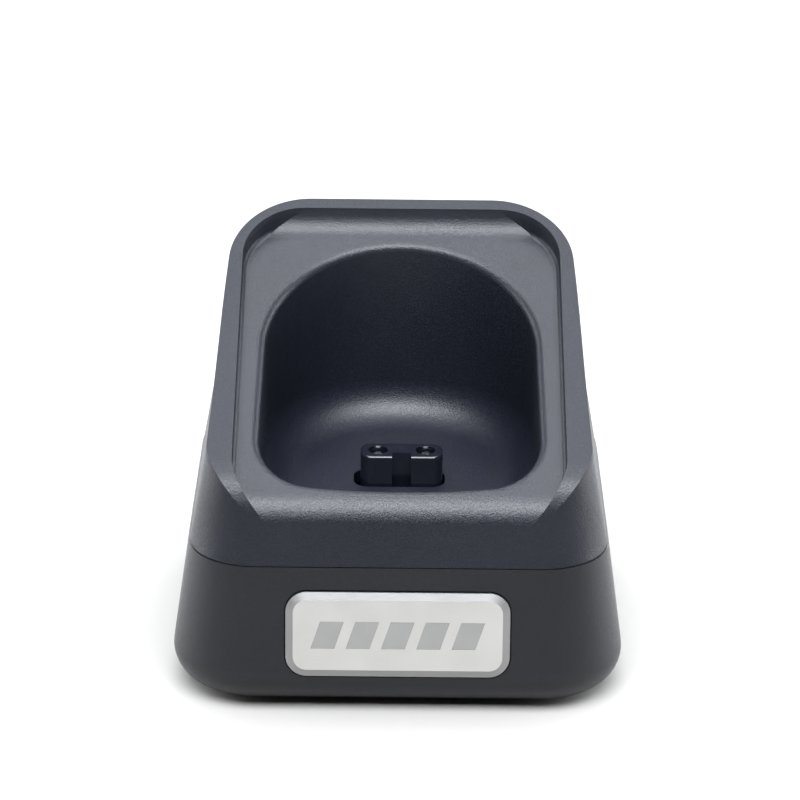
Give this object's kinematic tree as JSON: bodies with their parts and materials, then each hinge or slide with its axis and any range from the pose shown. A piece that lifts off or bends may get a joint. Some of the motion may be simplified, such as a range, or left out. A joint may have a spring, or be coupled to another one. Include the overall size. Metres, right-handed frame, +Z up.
{
  "type": "hair clipper charging stand",
  "caption": "Square tapered desktop charging stand with a sloped top, a deep D-shaped clipper pocket, a floating two-pole connector and a plain badge.",
  "frame": {"origin": "on the table, under the centre of the square footprint", "axes": "+Z up, -Y towards the front with the badge, +X to the right seen from the front"},
  "size_m": [0.0714, 0.072, 0.063],
  "materials": {
    "upper_plastic": "fine grained satin",
    "lower_plastic": "fine grained satin",
    "base_plastic": "fine grained matte",
    "foot_rubber": "matte",
    "screw_steel": "zinc plated",
    "ballast_steel": "zinc plated",
    "badge_silver": "satin silver",
    "badge_grey": "satin print",
    "badge_adhesive": "adhesive film",
    "connector_plastic": "gloss",
    "contact_metal": "plated",
    "retainer_plastic": "matte",
    "board_laminate": "solder mask",
    "diode_epoxy": "moulded",
    "inlet_plastic": "satin",
    "lead_red": "pvc insulation",
    "lead_black": "pvc insulation"
  },
  "bodies": {
    "stand": {"upper_shell": "upper_plastic", "lower_shell": "lower_plastic", "base_plate": "base_plastic", "foot_front_left": "foot_rubber", "foot_front_right": "foot_rubber", "foot_rear_left": "foot_rubber", "foot_rear_right": "foot_rubber", "case_screws": "screw_steel", "ballast_plate": "ballast_steel", "ballast_screws": "screw_steel", "badge_plate": "badge_silver", "badge_symbol": "badge_grey", "badge_adhesive": "badge_adhesive", "connector_retainer": "retainer_plastic", "retainer_screws": "screw_steel", "circuit_board": "board_laminate", "board_screws": "screw_steel", "protection_diode": "diode_epoxy", "inlet_housing": "inlet_plastic", "inlet_pin_left": "contact_metal", "inlet_pin_right": "contact_metal", "lead_red": "lead_red", "lead_black": "lead_black"},
    "connector": {"connector_body": "connector_plastic", "contact_left": "contact_metal", "contact_right": "contact_metal"}
  },
  "joints": [
    {"name": "connector_rock", "type": "hinge", "parent": "stand", "child": "connector", "pos_m": [0.00035, -0.0045, 0.0222], "axis": [0, 1, 0], "range_deg": [-2.5, 2.5]}
  ]
}
